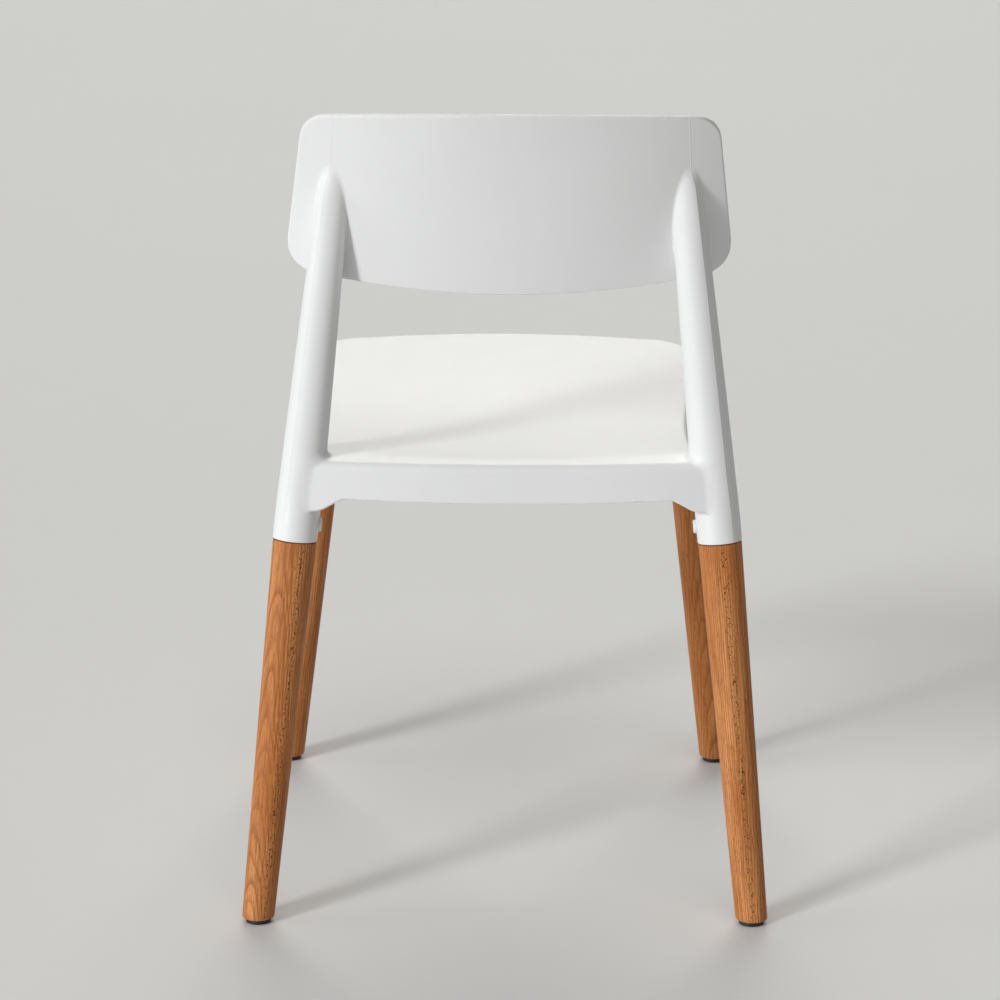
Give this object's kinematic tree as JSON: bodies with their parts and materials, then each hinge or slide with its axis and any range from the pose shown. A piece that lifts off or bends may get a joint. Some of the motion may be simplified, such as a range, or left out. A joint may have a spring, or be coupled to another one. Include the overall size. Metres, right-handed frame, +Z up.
{
  "type": "dining chair",
  "caption": "Armless dining chair: a one-piece moulded plastic shell with an open back window, on round tapered wooden legs screwed into sockets.",
  "frame": {"origin": "on the floor under the middle of the chair: centre of the bounding box in X and Y, at the underside of the glide pads", "axes": "+Z up, +X to the sitter's left, -Y the way the sitter faces, so the backrest is at +Y"},
  "size_m": [0.498, 0.5231, 0.7768],
  "materials": {
    "shell_plastic": "satin white moulded polypropylene with a very fine texture",
    "beech": "oiled steamed beech, satin, grain along the leg",
    "zinc_steel": "bright zinc-plated steel",
    "insert_brass": "yellow passivated zinc alloy",
    "glide_plastic": "black moulded plastic, slightly scuffed underneath"
  },
  "bodies": {
    "root": {"shell": "shell_plastic", "rear_leg_left": "beech", "rear_leg_right": "beech", "front_leg_left": "beech", "front_leg_right": "beech", "rear_left_leg_screw": "zinc_steel", "rear_right_leg_screw": "zinc_steel", "front_left_leg_screw": "zinc_steel", "front_right_leg_screw": "zinc_steel", "rear_left_leg_insert": "insert_brass", "rear_right_leg_insert": "insert_brass", "front_left_leg_insert": "insert_brass", "front_right_leg_insert": "insert_brass", "rear_left_glide_pad": "glide_plastic", "rear_right_glide_pad": "glide_plastic", "front_left_glide_pad": "glide_plastic", "front_right_glide_pad": "glide_plastic", "rear_left_glide_nail": "zinc_steel", "rear_right_glide_nail": "zinc_steel", "front_left_glide_nail": "zinc_steel", "front_right_glide_nail": "zinc_steel"}
  },
  "joints": []
}
